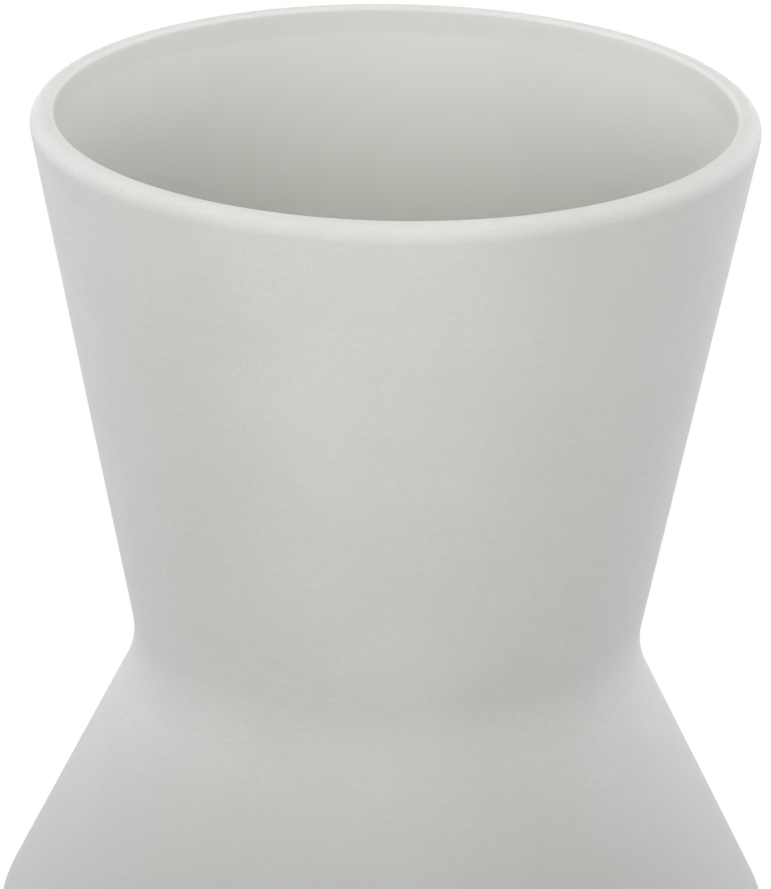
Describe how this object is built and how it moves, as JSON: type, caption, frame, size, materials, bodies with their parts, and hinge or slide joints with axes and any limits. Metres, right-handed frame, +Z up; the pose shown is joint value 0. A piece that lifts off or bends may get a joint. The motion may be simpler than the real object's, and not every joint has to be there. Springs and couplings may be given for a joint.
{
  "type": "trumpet vase",
  "caption": "Tall stoneware flower vase: a flared open neck on a narrow waist, a sloping shoulder and a belly that narrows to a ring foot on felt dots.",
  "frame": {"origin": "on the vase's axis, in the plane that the felt dots stand on", "axes": "+Z up along the vase's axis, from foot to lip; X and Y pass through the felt dots, and the picture looks along +Y"},
  "size_m": [0.1822, 0.1822, 0.32],
  "materials": {
    "stoneware": "matte pale grey stoneware with a fine sandy engobe",
    "slip": "fired slip of the same clay, smoothed flush with the wall",
    "glaze": "thin smooth satin-matte liner glaze",
    "felt": "pressed wool felt, self-adhesive dots"
  },
  "bodies": {
    "root": {"neck_section": "stoneware", "waist_slip": "slip", "shoulder_section": "stoneware", "shoulder_slip": "slip", "belly_section": "stoneware", "floor_slip": "slip", "floor_slab": "stoneware", "inner_glaze": "glaze", "felt_dots": "felt"}
  },
  "joints": []
}
